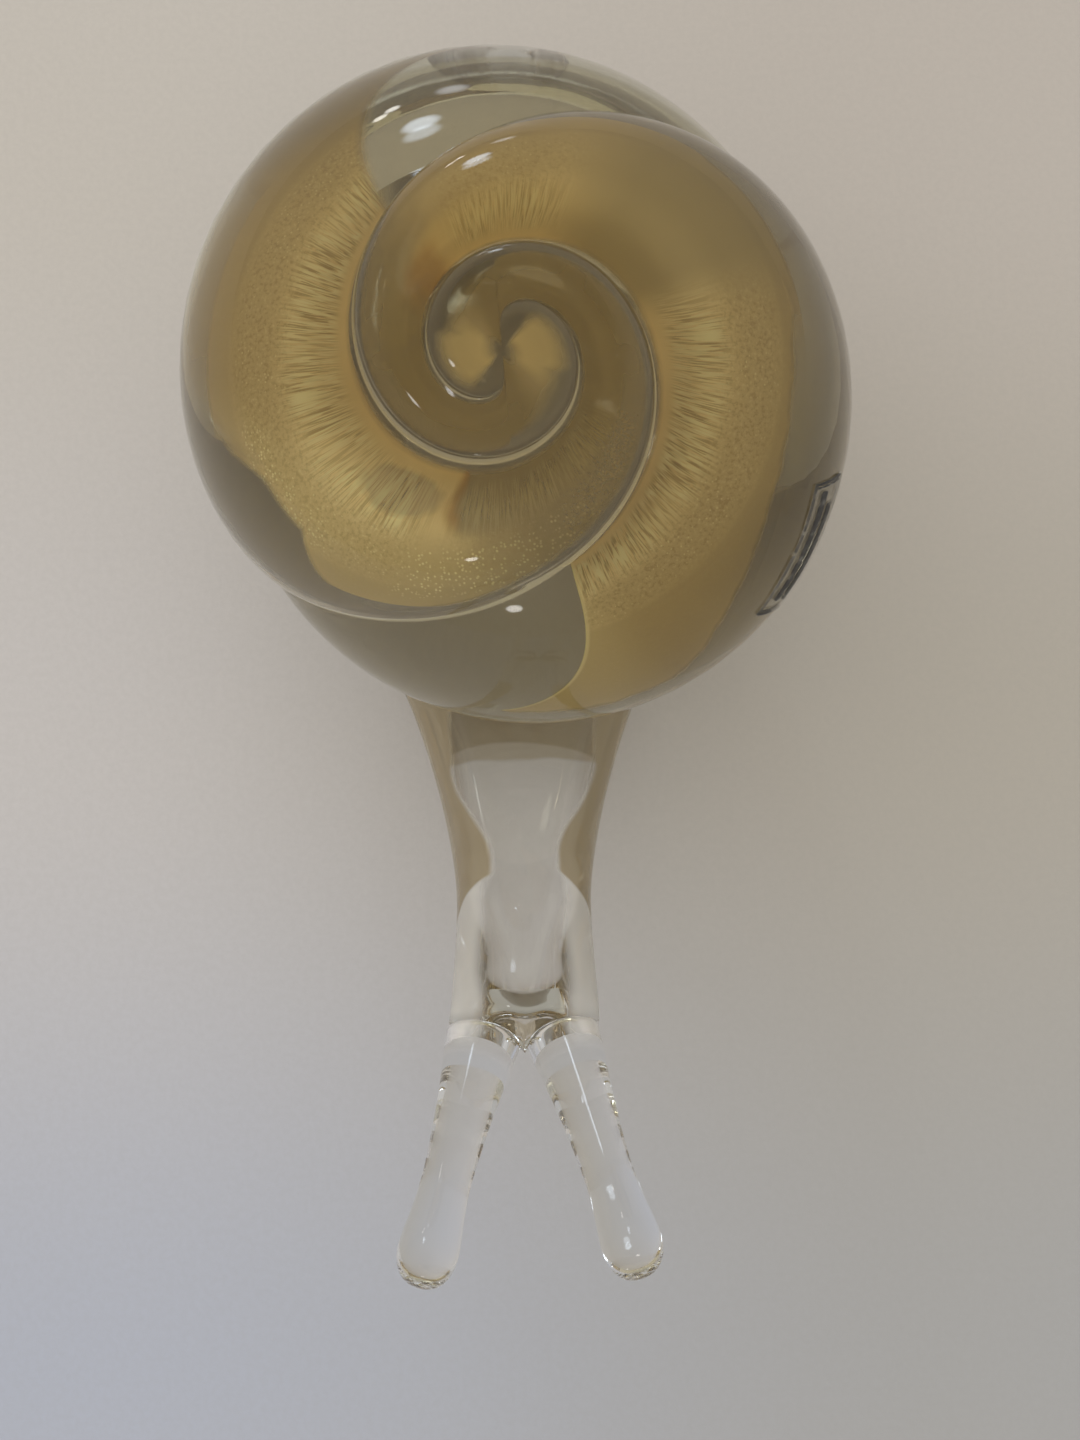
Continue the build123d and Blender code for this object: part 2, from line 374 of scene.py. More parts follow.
leafLook = {
    "gold": (1.0, 0.77, 0.385, 1),
    "deepGold": (0.86, 0.645, 0.30, 1),
    "edgeGold": (0.60, 0.44, 0.19, 1),
    "thinGold": (0.51, 0.395, 0.185, 1),
    "darkGold": (0.46, 0.305, 0.095, 1),
    "paleGold": (1.0, 0.87, 0.47, 1),
    "amber": (0.60, 0.32, 0.07, 1),
    "crownGold": (1.0, 0.86, 0.57, 1),
    "lines": (2.6, 1.2),                 # fine and broad lines to a degree of turn
    "cover": 0.9,
    "thinCover": 0.45,
    "crownCover": 0.7,
    "streaks": {"a": ((-200.0, 18.0, 1.0), (70.0, 112.0, 0.6)), 
                "b": ((-200.0, 60.0, 1.0), (68.0, 150.0, 0.4))},     # from, to, strength
    "sparkle": {"a": None, "b": (60.0, 118.0)},     # turn where rows of specks painted bright as glints lie on the outer side
    "plain": {"a": (12.0, 28.0, 50.0, 76.0), "b": None},  # turn where it is plain and darker
    "innerEnd": {"a": (112.0, 160.0), "b": (66.0, 74.0)},    # where the thick film ends by the groove
    "outerEnd": {"a": (95.0, 160.0), "b": (48.0, 120.0)},    # and on its outer side
    "drawIn": {"a": 1.02, "b": 0.79},    # how far out the film still reaches after the first bend
    "startLine": {"a": 0.5, "b": 0.0},
    "veil": {"a": 1.0, "b": 0.6},        # cover past the film's outer edge
    "startFade": {"a": 0.3, "b": 5.0},
    "borderFade": {"a": 0.12, "b": 0.3},   # share of the wide start that fades out at its border
    "hole": {"a": None, "b": (50.0, 16.0, 0.27, 0.14)},   # an oval gap: turn, half length, across, half width
}


def goldLeafMaterial(which):
    material, nodes, links, output = newMaterial("goldLeaf" + which.upper())
    shader = addNode(nodes, "ShaderNodeBsdfPrincipled", Metallic=0.3, Roughness=0.42)
    uv = nodes.new("ShaderNodeUVMap")
    split = nodes.new("ShaderNodeSeparateXYZ")
    links.new(uv.outputs["UV"], split.inputs["Vector"])
    across = split.outputs["Y"]
    place = nodes.new("ShaderNodeTexCoord")

    def multiply(*values):
        product = values[0]
        for value in values[1:]:
            product = mathNode(nodes, links, "MULTIPLY", product, value)
        return product

    def ramp(value, *ends):
        return rangeNode(nodes, links, value, *ends)

    turn = multiply(split.outputs["X"], 360.0)

    def attribute(name):
        node = nodes.new("ShaderNodeAttribute")
        node.attribute_name = name
        return node.outputs["Fac"]

    fromStart = attribute("startGap")

    def noiseOn(turnScale, acrossScale, detail):
        stretch = nodes.new("ShaderNodeCombineXYZ")
        links.new(multiply(turn, turnScale), stretch.inputs["X"])
        links.new(multiply(across, acrossScale), stretch.inputs["Y"])
        noise = addNode(nodes, "ShaderNodeTexNoise", Scale=1.0, Detail=detail, Roughness=0.55, Distortion=0.25)
        links.new(stretch.outputs["Vector"], noise.inputs["Vector"])
        return noise.outputs["Fac"]

    def noiseIn(scale, detail, roughness):
        noise = addNode(nodes, "ShaderNodeTexNoise", Scale=scale, Detail=detail, Roughness=roughness)
        links.new(place.outputs["Object"], noise.inputs["Vector"])
        return noise.outputs["Fac"]

    fine, broad = leafLook["lines"]
    fineLines = noiseOn(fine, 5.0, 1.0)
    broadLines = noiseOn(broad, 4.0, 1.0)
    patches = noiseOn(0.065, 2.5, 2.0)
    clouds = noiseIn(60.0, 3.0, 0.6)
    grains = noiseIn(1900.0, 3.0, 0.65)
    specks = addNode(nodes, "ShaderNodeTexVoronoi", Scale=2300.0)
    links.new(place.outputs["Object"], specks.inputs["Vector"])
    cell = nodes.new("ShaderNodeSeparateColor")
    links.new(specks.outputs["Color"], cell.inputs["Color"])

    # short lines across the inner half of the band, then grains and specks, then a plain edge
    streaky = 0.0
    for first, last, strength in leafLook["streaks"][which]:
        part = multiply(ramp(turn, first - 8, first + 8), ramp(turn, last + 8, last - 8, 0.0, strength))
        streaky = mathNode(nodes, links, "MAXIMUM", part, streaky)
    zone = multiply(ramp(across, 0.1, 0.2), ramp(across, 0.56, 0.4), ramp(patches, 0.34, 0.58, 0.5, 1.0), streaky)
    bright = multiply(zone, mathNode(nodes, links, "MAXIMUM", ramp(fineLines, 0.51, 0.6, 0.0, 0.75),
                                     ramp(broadLines, 0.52, 0.6, 0.0, 1.0)))
    dark = multiply(zone, mathNode(nodes, links, "MAXIMUM", ramp(fineLines, 0.48, 0.38, 0.0, 0.7),
                                   ramp(broadLines, 0.47, 0.37, 0.0, 0.8)))
    grainZone = multiply(ramp(across, 0.36, 0.52), ramp(across, 0.86, 0.7, 0.1, 1.0), streaky)
    grainDark = multiply(grainZone, ramp(grains, 0.5, 0.36, 0.0, 0.45))
    grainBright = multiply(grainZone, ramp(grains, 0.54, 0.7, 0.0, 0.35))
    # painted glints: specks painted pale gold
    dot = multiply(ramp(specks.outputs["Distance"], 0.4, 0.18), ramp(cell.outputs["Red"], 0.6, 0.85),
                   ramp(across, 0.36, 0.5, 0.1, 0.8), ramp(across, 0.86, 0.72, 0.1, 1.0),
                   ramp(patches, 0.38, 0.6, 0.2, 1.0), streaky)
    if leafLook["sparkle"][which]:
        first, last = leafLook["sparkle"][which]
        row = multiply(ramp(specks.outputs["Distance"], 0.5, 0.2), ramp(cell.outputs["Red"], 0.45, 0.7),
                       ramp(turn, first - 4, first + 4), ramp(turn, last + 12, last - 12),
                       ramp(across, 0.5, 0.62), ramp(across, 0.95, 0.85))
        edgeRow = multiply(ramp(specks.outputs["Distance"], 0.5, 0.2), ramp(cell.outputs["Red"], 0.4, 0.6),
                           ramp(turn, 6.0, 16.0), ramp(turn, 46.0, 38.0), ramp(across, 0.6, 0.7), ramp(across, 0.82, 0.78))
        dot = mathNode(nodes, links, "MAXIMUM", dot, mathNode(nodes, links, "MAXIMUM", row, edgeRow))

    # the thick film ends in a wavy amber rim by the groove and thins slowly on the outer side
    wavy = mathNode(nodes, links, "MULTIPLY_ADD", patches, 16.0)
    wavy.node.inputs[2].default_value = -8.0
    wavy = mathNode(nodes, links, "ADD", wavy, turn)
    innerFilm = ramp(wavy, *leafLook["innerEnd"][which], 1.0, 0.0)
    outerFilm = ramp(wavy, *leafLook["outerEnd"][which], 1.0, 0.0)
    film = nodes.new("ShaderNodeMix")
    for i, value in ((0, ramp(across, 0.36, 0.56)), (2, innerFilm), (3, outerFilm)):
        links.new(value, film.inputs[i])
    film = film.outputs[0]
    rim = multiply(innerFilm, mathNode(nodes, links, "SUBTRACT", 1.0, innerFilm), ramp(across, 0.5, 0.35, 0.0, 2.6))

    colour = mixColour(nodes, links, ramp(clouds, 0.3, 0.7), leafLook["gold"], leafLook["deepGold"])
    edgeDeep = mathNode(nodes, links, "MAXIMUM", ramp(across, 0.4, 0.6, 0.0, 0.62), ramp(across, 0.7, 0.86, 0.0, 0.8))
    thinner = multiply(ramp(film, 1.0, 0.0, 0.0, 0.8), ramp(turn, 290.0, 340.0, 1.0, 0.25))
    if leafLook["plain"][which]:
        first, settled, onward, last = leafLook["plain"][which]
        plain = multiply(ramp(turn, first, settled), ramp(turn, last, onward, 0.0, 0.75))
        thinner = mathNode(nodes, links, "MAXIMUM", thinner, plain)
    for share, tone in ((edgeDeep, "edgeGold"), (thinner, "thinGold"), (dark, "darkGold"), (grainDark, "darkGold"),
                        (bright, "paleGold"), (grainBright, "paleGold"), (dot, "paleGold"), (rim, "amber"),
                        (ramp(turn, 285.0, 335.0, 0.0, 0.75), "crownGold")):
        colour = mixColour(nodes, links, share, colour, leafLook[tone])
    startLine = ramp(fromStart, 1.4, 0.7, 0.0, leafLook["startLine"][which])
    colour = mixColour(nodes, links, startLine, colour, leafLook["paleGold"])
    links.new(colour, shader.inputs["Base Color"])

    # it draws in from the outer side, first a little and past the film's end a lot
    drawn = mathNode(nodes, links, "MAXIMUM", ramp(turn, 6.0, 24.0, 1.06, leafLook["drawIn"][which]),
                     ramp(turn, 20.0, 50.0, 0.5, 1.06))
    reach = mathNode(nodes, links, "MINIMUM", ramp(film, 0.0, 1.0, 0.92, 1.06), drawn)
    reach = mathNode(nodes, links, "MAXIMUM", reach, ramp(turn, 300.0, 350.0, 0.0, 1.06))
    reach = mathNode(nodes, links, "MAXIMUM", reach, ramp(turn, 24.0, -6.0, 0.0, 2.4))
    softer = ramp(turn, 270.0, 330.0, 0.07, 0.4)
    outerSide = mathNode(nodes, links, "DIVIDE", mathNode(nodes, links, "SUBTRACT", reach, across), softer)
    innerSide = mathNode(nodes, links, "DIVIDE", mathNode(nodes, links, "SUBTRACT", across, 0.03), softer)
    edge = multiply(ramp(outerSide, 0.0, 1.0), ramp(innerSide, 0.0, 0.8), ramp(turn, 418.0, 395.0),
                    ramp(fromStart, 0.0, leafLook["startFade"][which]))
    if leafLook["hole"][which]:
        turnMid, turnHalf, acrossMid, acrossHalf = leafLook["hole"][which]
        along = multiply(mathNode(nodes, links, "SUBTRACT", wavy, turnMid), 1 / turnHalf)
        beside = multiply(mathNode(nodes, links, "SUBTRACT", across, acrossMid), 1 / acrossHalf)
        gap = mathNode(nodes, links, "ADD", multiply(along, along), multiply(beside, beside))
        edge = multiply(edge, ramp(gap, 0.6, 1.2, 0.5, 1.0))
    thin = mathNode(nodes, links, "MAXIMUM", ramp(film, 0.0, 1.0, leafLook["thinCover"], leafLook["cover"]),
                    ramp(turn, 280.0, 340.0, 0.0, leafLook["crownCover"]))
    veil = mathNode(nodes, links, "MAXIMUM", ramp(across, 1.08, 1.0),
                    ramp(turn, 14.0, -14.0, 0.0, leafLook["veil"][which]))
    veil = mathNode(nodes, links, "MAXIMUM", veil, ramp(turn, -28.0, -40.0))
    border = mathNode(nodes, links, "ADD", attribute("edgeGap"), ramp(clouds, 0.3, 0.7, -0.04, 0.04))
    border = mathNode(nodes, links, "MAXIMUM", ramp(border, 0.04, leafLook["borderFade"][which]),
                      ramp(turn, 0.0, 24.0))
    links.new(multiply(edge, thin, veil, border), shader.inputs["Alpha"])

    bump = addNode(nodes, "ShaderNodeBump", Strength=0.35, Distance=0.0002)
    links.new(mathNode(nodes, links, "ADD", bright, dot), bump.inputs["Height"])
    links.new(bump.outputs["Normal"], shader.inputs["Normal"])
    links.new(shader.outputs["BSDF"], output.inputs["Surface"])
    return material


labelLook = {
    "film": (0.62, 0.61, 0.56, 1),
    "ink": (0.012, 0.012, 0.014, 1),
    "filmCover": 0.07,
    "bars": [      # centre and half size of each plain bar, along and across
        (0.0, 0.455, 0.49, 0.016), (0.0, -0.455, 0.49, 0.016), (0.485, 0.0, 0.007, 0.46), (-0.485, 0.0, 0.007, 0.46),
        (0.46, 0.0, 0.005, 0.42), (-0.46, 0.0, 0.005, 0.42), (-0.04, 0.2, 0.36, 0.085), (0.02, -0.12, 0.40, 0.085),
    ],
}


def labelMaterial():
    # clear film with plain bars of ink
    material, nodes, links, output = newMaterial("labelFilm")
    shader = addNode(nodes, "ShaderNodeBsdfPrincipled", Roughness=0.5)
    uv = nodes.new("ShaderNodeUVMap")
    split = nodes.new("ShaderNodeSeparateXYZ")
    links.new(uv.outputs["UV"], split.inputs["Vector"])
    ink = None
    for along, across, halfLength, halfWidth in labelLook["bars"]:
        sides = []
        for name, middle, half in (("X", along, halfLength), ("Y", across, halfWidth)):
            off = mathNode(nodes, links, "SUBTRACT", split.outputs[name], 0.5 + middle)
            sides.append(mathNode(nodes, links, "LESS_THAN", mathNode(nodes, links, "ABSOLUTE", off), half))
        bar = mathNode(nodes, links, "MULTIPLY", *sides)
        ink = mathNode(nodes, links, "MAXIMUM", ink, bar) if ink else bar
    place = nodes.new("ShaderNodeTexCoord")
    wear = addNode(nodes, "ShaderNodeTexNoise", Scale=900.0, Detail=3.0, Roughness=0.6)
    links.new(place.outputs["Object"], wear.inputs["Vector"])
    ink = mathNode(nodes, links, "MULTIPLY", ink, rangeNode(nodes, links, wear.outputs["Fac"], 0.32, 0.45))
    colour = mixColour(nodes, links, ink, labelLook["film"], labelLook["ink"])
    links.new(colour, shader.inputs["Base Color"])
    links.new(mathNode(nodes, links, "MAXIMUM", ink, labelLook["filmCover"]), shader.inputs["Alpha"])
    links.new(shader.outputs["BSDF"], output.inputs["Surface"])
    return material


# shell: two lobes of glass twisted together

shell = {
    "radius": 52.0,
    "crownHeight": 50.0,
    "bellyDepth": 46.0,
    "centreY": 35.8,
    "glassBelow": 5.0,
    "forwardLean": 15.0,
    "sideLean": -2.0,
    "twist": 4434.0,
    "twistHeart": 9.24,
    "twistOffset": 24.9,
    "grooveDepth": 5.0,
    "grooveShare": 0.28,
    "fadeStart": 80.0,
    "fadeEnd": 125.0,
    "swellSkew": 0.62,
    "rowStep": 1.3,       # degrees from row to row on plain skin
    "turnStep": 3.0,      # and of twist where the seam turns fast
    "skinColumns": 40,
    "seamColumns": 4,
}

lean = math.radians(shell["forwardLean"])
shellDrop = math.hypot(shell["bellyDepth"] * math.cos(lean), shell["radius"] * math.sin(lean))
shellCentre = Vector((0, shell["centreY"], shell["glassBelow"] + shellDrop))
shellPlace = (Matrix.Translation(shellCentre)
              @ Matrix.Rotation(lean, 4, "X")
              @ Matrix.Rotation(math.radians(shell["sideLean"]), 4, "Y"))


def limit(value, low, high):
    return min(max(value, low), high)


def polar(radius, angle, turn):
    flat = radius * math.sin(math.radians(angle))
    east = flat * math.cos(math.radians(turn))
    north = flat * math.sin(math.radians(turn))
    return Vector((east, north, radius * math.cos(math.radians(angle))))


def ballRadius(angle):
    height = shell["crownHeight"] if angle < 90 else shell["bellyDepth"]
    across = math.sin(math.radians(angle)) / shell["radius"]
    return 1 / math.hypot(across, math.cos(math.radians(angle)) / height)


def seamTurn(angle):
    return shell["twist"] / (angle**4 + shell["twistHeart"]**4) ** 0.25 - shell["twistOffset"]


def seamAngle(turn):
    if turn <= 0:
        return 180.0
    reach = (shell["twist"] / (turn + shell["twistOffset"])) ** 4 - shell["twistHeart"]**4
    return max(reach, 0) ** 0.25


def grooveDepth(angle):
    inner = 1 / (1 / max(angle, 0.001) + 180 / shell["twist"])
    width = math.radians(angle - inner) * shell["radius"]
    fade = limit((shell["fadeEnd"] - angle) / (shell["fadeEnd"] - shell["fadeStart"]), 0, 1)
    return min(shell["grooveShare"] * width, shell["grooveDepth"]) * fade * fade * (3 - 2 * fade)


def lobeRadius(angle, turn):
    share = limit((seamTurn(angle) - turn) / 180, 0, 1)
    swell = math.sin(math.pi * share ** shell["swellSkew"])
    return ballRadius(angle) - grooveDepth(angle) * (1 - swell)


def seamHeight(angle):
    return (ballRadius(angle) - grooveDepth(angle)) * math.cos(math.radians(angle))


def shellAngles():
    angles = [0.0]
    while angles[-1] < 180:
        angle = angles[-1]
        slope = (seamTurn(angle) - seamTurn(angle + 0.05)) / 0.05
        angles.append(angle + 1 / (1 / shell["rowStep"] + slope / shell["turnStep"]))
    return [angle * 180 / angles[-1] for angle in angles]


def makeLobe(name, halfTurn):
    angles = shellAngles()
    columns = shell["skinColumns"] + shell["seamColumns"]
    skinShare = shell["skinColumns"] / columns

    def place(u, v):
        angle = angles[round(v * (len(angles) - 1))]
        seam = seamTurn(angle)
        if u <= skinShare + 1e-6:
            turn = seam - 180 * (0.5 - 0.5 * math.cos(math.pi * u / skinShare))
            point = polar(lobeRadius(angle, turn), angle, turn)
        else:
            first = polar(lobeRadius(angle, seam), angle, seam)
            last = polar(lobeRadius(angle, seam), angle, seam - 180)
            point = last.lerp(first, (u - skinShare) / (1 - skinShare))
        return shellPlace @ Matrix.Rotation(math.radians(halfTurn), 4, "Z") @ point * mm

    lobe = shapeGrid(name, columns, len(angles) - 1, place,
                     lambda u, v: glassSlot if u < skinShare else fusedSlot)
    closeUp(lobe)
    return lobe


def makeBall(lobes):
    skins = []
    for lobe in lobes:
        skin = copyPiece(lobe, "ball")
        dropFaces(skin, lambda face: face.material_index == fusedSlot)
        skins.append(skin)
    activate(skins[0])
    skins[1].select_set(True)
    bpy.ops.object.join()
    ball = bpy.context.object
    closeUp(ball, 2e-6)
    for face in ball.data.polygons:
        face.material_index = fusedSlot
    return ball


def weldLobe(lobe, blank):
    # the body's outline is drawn on the lobe's skin, and the skin inside it is fused
    name = lobe.name
    stamp = copyPiece(blank, "stamp")
    for face in stamp.data.polygons:
        face.material_index = scrapSlot
    activate(lobe)
    stamp.select_set(True)
    bpy.ops.object.join()
    lobe.name = name
    bpy.ops.object.mode_set(mode="EDIT")
    bpy.ops.mesh.select_mode(type="FACE")
    bpy.ops.mesh.select_all(action="DESELECT")
    bpy.ops.object.mode_set(mode="OBJECT")
    for face in lobe.data.polygons:
        face.select = face.material_index == scrapSlot
    bpy.ops.object.mode_set(mode="EDIT")
    bpy.ops.mesh.intersect(mode="SELECT_UNSELECT", separate_mode="NONE", solver="EXACT")
    dropFaces(lobe, lambda face: face.material_index == scrapSlot)
    closeUp(lobe)
    for face in lobe.data.polygons:
        found, spot, normal, index = blank.closest_point_on_mesh(face.center)
        if (face.center - spot).dot(normal) < 0:
            face.material_index = fusedSlot
    return lobe


# body, head and tentacles: one drawn shape, cut where the gathers of glass meet

snail = {
    "ringPoints": 12,
    "ringStep": 5.0,
    "stations": [          # y from the shell's centre, z, slope, half width, half height
        (36.0, 5.0, -2.0, 8.0, 4.0),
        (31.0, 5.4, -2.0, 17.0, 7.0),
        (18.0, 6.0, -2.0, 27.0, 11.0),
        (0.0, 6.5, 2.0, 33.0, 14.0),
        (-25.0, 9.0, 10.0, 29.0, 15.0),
        (-45.0, 15.0, 24.0, 20.5, 14.0),
        (-60.0, 23.0, 36.0, 15.2, 12.5),
        (-73.0, 34.0, 41.0, 11.8, 11.0),
        (-80.5, 40.5, 41.0, 10.9, 10.4),
        (-88.1, 47.1, 41.0, 11.0, 8.6),
        (-94.1, 52.4, 41.0, 11.2, 6.8),
    ],
    "neckEnd": (-73.0, 34.0, 41.0),
    "rootStep": 20.0,
    "rootSide": {"left": 3.5, "right": 2.4},
    "rise": 46.0,
    "splay": {"left": 16.0, "right": 19.5},
    "brow": 4.0,           # how far the last ring's middle bulges past its sides
    "crotch": 2.5,         # and the web between the tentacles past that
    "webDrop": 4.5,
    "tentacle": [          # distance from the root, radius
        (13.0, 5.5), (15.5, 5.25), (18.0, 4.95), (21.0, 4.5), (24.5, 4.08), (28.0, 3.72), (32.0, 3.42),
        (35.5, 3.2), (39.0, 3.3), (42.0, 3.62), (44.6, 3.86), (46.5, 3.62), (47.9, 2.75), (48.7, 1.5),
    ],
    "rootCut": 17.0,
    "levels": 3,
    "tentacleLevels": 4,
}


def ringShrink(points):
    # a subdivided ring draws in by this much
    return 2 / 3 + math.cos(2 * math.pi / points) / 3


def spineFrame(y, z, slope):
    rise = math.radians(slope)
    origin = Vector((0, shell["centreY"] + y, z))
    forward = Vector((0, -math.cos(rise), math.sin(rise)))
    upward = Vector((0, math.sin(rise), math.cos(rise)))
    return origin, forward, upward


def between(before, start, end, after, share):
    # smooth run of a number through four stations
    a = 2 * start
    b = end - before
    c = 2 * before - 5 * start + 4 * end - after
    d = 3 * start - before - 3 * end + after
    return 0.5 * (a + share * (b + share * (c + share * d)))


def spineStations():
    given = snail["stations"]
    stations = [given[0]]
    for i in range(len(given) - 1):
        before, start = given[max(i - 1, 0)], given[i]
        end, after = given[i + 1], given[min(i + 2, len(given) - 1)]
        gap = math.hypot(end[0] - start[0], end[1] - start[1])
        count = max(1, round(gap / snail["ringStep"]))
        for k in range(1, count + 1):
            run = [between(before[j], start[j], end[j], after[j], k / count) for j in range(5)]
            stations.append(tuple(run))
    return stations


def ovalRing(station):
    y, z, slope, halfWidth, halfHeight = station
    origin, forward, upward = spineFrame(y, z, slope)
    swell = 1 / ringShrink(snail["ringPoints"])
    ring = []
    for k in range(snail["ringPoints"]):
        angle = 2 * math.pi * k / snail["ringPoints"]
        side = Vector((1, 0, 0)) * halfWidth * math.cos(angle)
        ring.append((origin + (side + upward * halfHeight * math.sin(angle)) * swell) * mm)
    return ring


def rootFrame(side):
    sign = -1 if side == "left" else 1
    origin, forward, upward = spineFrame(*snail["neckEnd"])
    rise = math.radians(snail["rise"])
    splay = math.radians(snail["splay"][side])
    axis = Vector((sign * math.cos(rise) * math.sin(splay), -math.cos(rise) * math.cos(splay), math.sin(rise)))
    root = origin + forward * snail["rootStep"] + Vector((sign * snail["rootSide"][side], 0, 0))
    outward = (Vector((sign, 0, 0)) - axis * axis.x * sign).normalized()
    upward = outward.cross(axis) if sign > 0 else axis.cross(outward)
    return root, axis, outward, upward


def tentacleRing(side, step, radius):
    root, axis, outward, upward = rootFrame(side)
    swell = radius / ringShrink(8)
    ring = []
    for k in range(8):
        angle = math.radians(-135 + 45 * k)
        ring.append((root + axis * step + (outward * math.cos(angle) + upward * math.sin(angle)) * swell) * mm)
    return ring


def growRing(piece, targets):
    # draws the selected ring or face on to the next ring; targets pair old places with new
    bpy.ops.mesh.extrude_region_move()
    bpy.ops.object.mode_set(mode="OBJECT")
    moved = []
    for vertex in piece.data.vertices:
        if vertex.select:
            old, new = min(targets, key=lambda pair: (pair[0] - vertex.co).length)
            moved.append((vertex, new))
    for vertex, new in moved:
        vertex.co = new
    bpy.ops.object.mode_set(mode="EDIT")


def makeSnailBlank(levels):
    stations = spineStations()
    rings = [ovalRing(station) for station in stations]
    origin, ahead, upward = spineFrame(*snail["neckEnd"])
    for k in range(snail["ringPoints"]):
        rings[-1][k] += ahead * snail["brow"] * abs(math.sin(2 * math.pi * k / snail["ringPoints"])) * mm
    clearSelection()
    bpy.ops.mesh.primitive_circle_add(vertices=snail["ringPoints"], fill_type="NGON")
    blank = bpy.context.object
    blank.name = "snailBlank"
    for vertex, point in zip(blank.data.vertices, rings[0]):
        vertex.co = point
    bpy.ops.object.mode_set(mode="EDIT")
    bpy.ops.mesh.select_mode(type="FACE")
    bpy.ops.mesh.select_all(action="SELECT")
    for ring, nextRing in zip(rings, rings[1:]):
        growRing(blank, list(zip(ring, nextRing)))

    # the end of the head is split down the middle, one half for each tentacle
    last = rings[-1]
    bpy.ops.object.mode_set(mode="OBJECT")
    top, bottom = last[3], last[9]
    bpy.ops.object.mode_set(mode="EDIT")
    bpy.ops.mesh.select_mode(type="VERT")
    bpy.ops.mesh.select_all(action="DESELECT")
    bpy.ops.object.mode_set(mode="OBJECT")
    for vertex in blank.data.vertices:
        vertex.select = min((vertex.co - top).length, (vertex.co - bottom).length) < 1e-6
    bpy.ops.object.mode_set(mode="EDIT")
    bpy.ops.mesh.vert_connect()
    bpy.ops.mesh.subdivide(number_cuts=1)
    bpy.ops.object.mode_set(mode="OBJECT")
    middle = (top + bottom) / 2
    web = middle + (ahead * snail["crotch"] - upward * snail["webDrop"]) * mm
    for vertex in blank.data.vertices:
        if (vertex.co - middle).length < 1e-6:
            vertex.co = web
    middle = web
    sides = {
        "right": [last[k % 12] for k in (9, 10, 11, 12, 13, 14, 15)] + [middle],
        "left": [last[k % 12] for k in (9, 8, 7, 6, 5, 4, 3)] + [middle],
    }
    for side, ring in sides.items():
        bpy.ops.object.mode_set(mode="EDIT")
        bpy.ops.mesh.select_mode(type="FACE")
        bpy.ops.mesh.select_all(action="DESELECT")
        bpy.ops.object.mode_set(mode="OBJECT")
        for face in blank.data.polygons:
            spots = [blank.data.vertices[i].co for i in face.vertices]
            face.select = len(spots) == 8 and all(
                min((spot - corner).length for corner in ring) < 1e-6 for spot in spots)
        bpy.ops.object.mode_set(mode="EDIT")
        for step, radius in snail["tentacle"]:
            nextRing = tentacleRing(side, step, radius)
            growRing(blank, list(zip(ring, nextRing)))
            ring = nextRing
    bpy.ops.mesh.select_all(action="SELECT")
    bpy.ops.mesh.normals_make_consistent(inside=False)
    bpy.ops.object.mode_set(mode="OBJECT")
    smooth = blank.modifiers.new("smooth", "SUBSURF")
    smooth.levels = smooth.render_levels = levels
    activate(blank)
    bpy.ops.object.modifier_apply(modifier=smooth.name)
    for face in blank.data.polygons:
        face.material_index = glassSlot
    sliceAt(blank, Vector((0, 0, 0)), Vector((0, 0, 1)), "ahead")   # ground flat below
    for face in blank.data.polygons:
        face.material_index = glassSlot
    closeUp(blank, 1e-7)
    return blank


def rootPlane(side):
    root, axis, outward, upward = rootFrame(side)
    return (root + axis * snail["rootCut"]) * mm, axis


# gold leaf

leaf = {
    "depth": 4.5,
    "depthShare": 0.34,
    "grooveDepth": 0.4,      # share of the depth at the inner edge, by the groove
    "thickness": 0.12,
    "start": {"a": (-72.0, -102.0), "b": (-54.0, -94.0)},   # turn at the inner and outer edge
    "startPower": {"a": 3.0, "b": 1.9},
    "end": 420.0,
    "lowerEdge": {"a": 56.5, "b": 58.5},
    "wideEdge": 84.0,        # it starts this wide and draws in over some degrees of turn
    "wideStart": {"a": (-5.0, 55.0), "b": (20.0, 24.0)},
    "innerShare": 0.03,
    "outerShare": 0.12,
    "columns": 340,
    "rows": 28,
}


